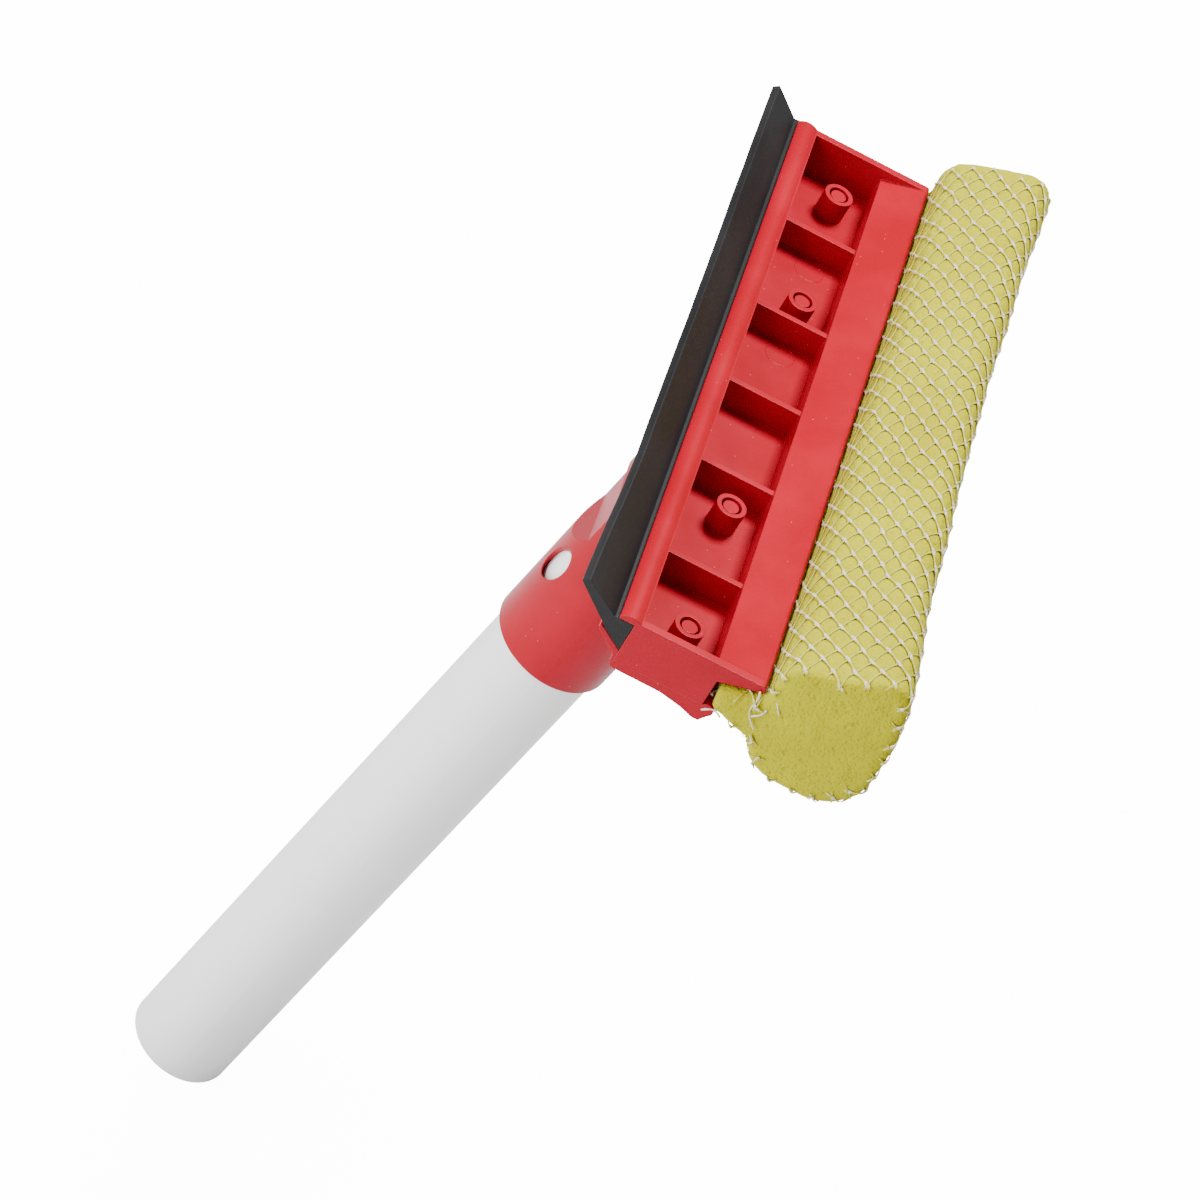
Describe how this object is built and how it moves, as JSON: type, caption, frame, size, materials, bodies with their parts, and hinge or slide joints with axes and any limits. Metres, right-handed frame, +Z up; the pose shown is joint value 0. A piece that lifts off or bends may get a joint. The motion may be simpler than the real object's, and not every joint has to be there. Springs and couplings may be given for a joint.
{
  "type": "window squeegee",
  "caption": "Two-sided window squeegee: a red plastic head with a rubber blade along one side and a netted sponge along the other, on a white tube handle.",
  "frame": {"origin": "centre of the handle's free end face", "axes": "+Z up the handle's axis towards the head, X along the head, +Y from the rubber blade to the sponge"},
  "size_m": [0.153, 0.0623, 0.245],
  "materials": {
    "red_plastic": "glossy injection-moulded plastic",
    "black_rubber": "matte extruded rubber",
    "yellow_foam": "open-cell foam",
    "cream_net": "knitted nylon net",
    "white_tube": "satin extruded tube",
    "grey_plug": "satin moulded plastic"
  },
  "bodies": {
    "handle": {"handle_tube": "white_tube", "handle_end_plug": "grey_plug"},
    "head": {"front_shell": "red_plastic", "back_shell": "red_plastic", "sponge": "yellow_foam", "netting": "cream_net"},
    "blade": {"rubber_blade": "black_rubber"}
  },
  "joints": [
    {"name": "head_pull", "type": "slide", "parent": "handle", "child": "head", "axis": [0, 0, 1], "range_m": [0, 0.026]},
    {"name": "blade_slide", "type": "slide", "parent": "head", "child": "blade", "axis": [1, 0, 0], "range_m": [0, 0.14]}
  ]
}
